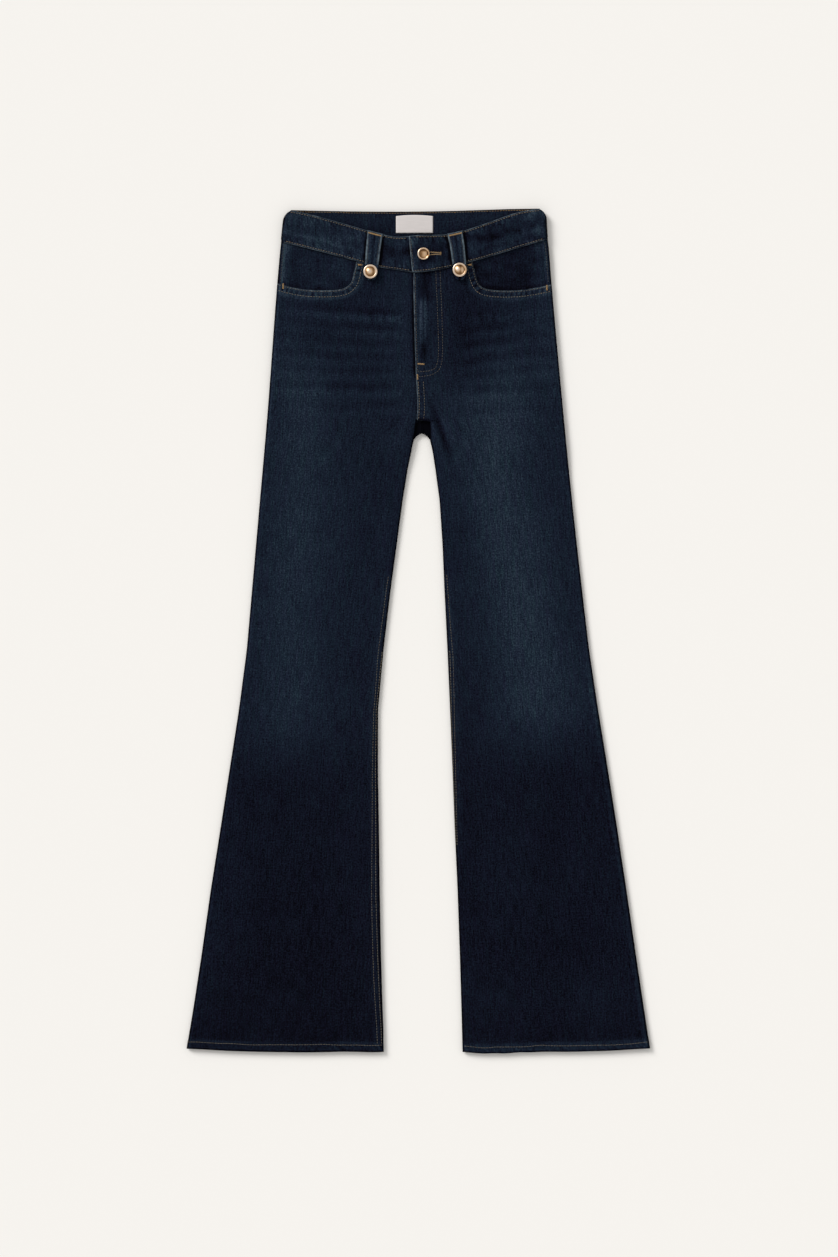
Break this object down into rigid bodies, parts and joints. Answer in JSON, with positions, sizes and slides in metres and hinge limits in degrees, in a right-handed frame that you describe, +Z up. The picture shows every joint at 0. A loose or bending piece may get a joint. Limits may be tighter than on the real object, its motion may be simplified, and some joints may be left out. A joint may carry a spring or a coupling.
{
  "type": "flared jeans",
  "caption": "High-rise flared denim jeans laid flat on their back, waist to hem, with waistband, fly, scooped front pockets, wide studded belt loops and plain back.",
  "frame": {"origin": "middle of the garment's box in plan, on the surface that it lies on", "axes": "+Z up from that surface, +Y from the hems to the waist, +X towards the wearer's left leg"},
  "size_m": [0.616, 1.1216, 0.0163],
  "materials": {
    "denim": "dark indigo 3x1 right-hand twill, worn pale on the thighs and along the seams, with gold topstitching",
    "topstitch": "gold polyester thread",
    "trim_metal": "antique copper-gold plating, softly polished",
    "zip_metal": "plain brass zip on cotton tape",
    "label_cloth": "plain off-white woven satin, left bare"
  },
  "bodies": {
    "root": {"front_panel_right": "denim", "front_panel_left": "denim", "hip_facing_right": "denim", "hip_facing_left": "denim", "back_panel_right": "denim", "back_panel_left": "denim", "back_yoke_right": "denim", "back_yoke_left": "denim", "back_pocket_right": "denim", "back_pocket_left": "denim", "waistband_front_right": "denim", "waistband_front_left": "denim", "waistband_back": "denim", "belt_loop_front_right": "denim", "belt_loop_front_left": "denim", "belt_loop_back_right": "denim", "belt_loop_back_centre": "denim", "belt_loop_back_left": "denim", "stud_right": "trim_metal", "stud_left": "trim_metal", "waist_button": "trim_metal", "zip": "zip_metal", "label": "label_cloth"}
  },
  "joints": []
}
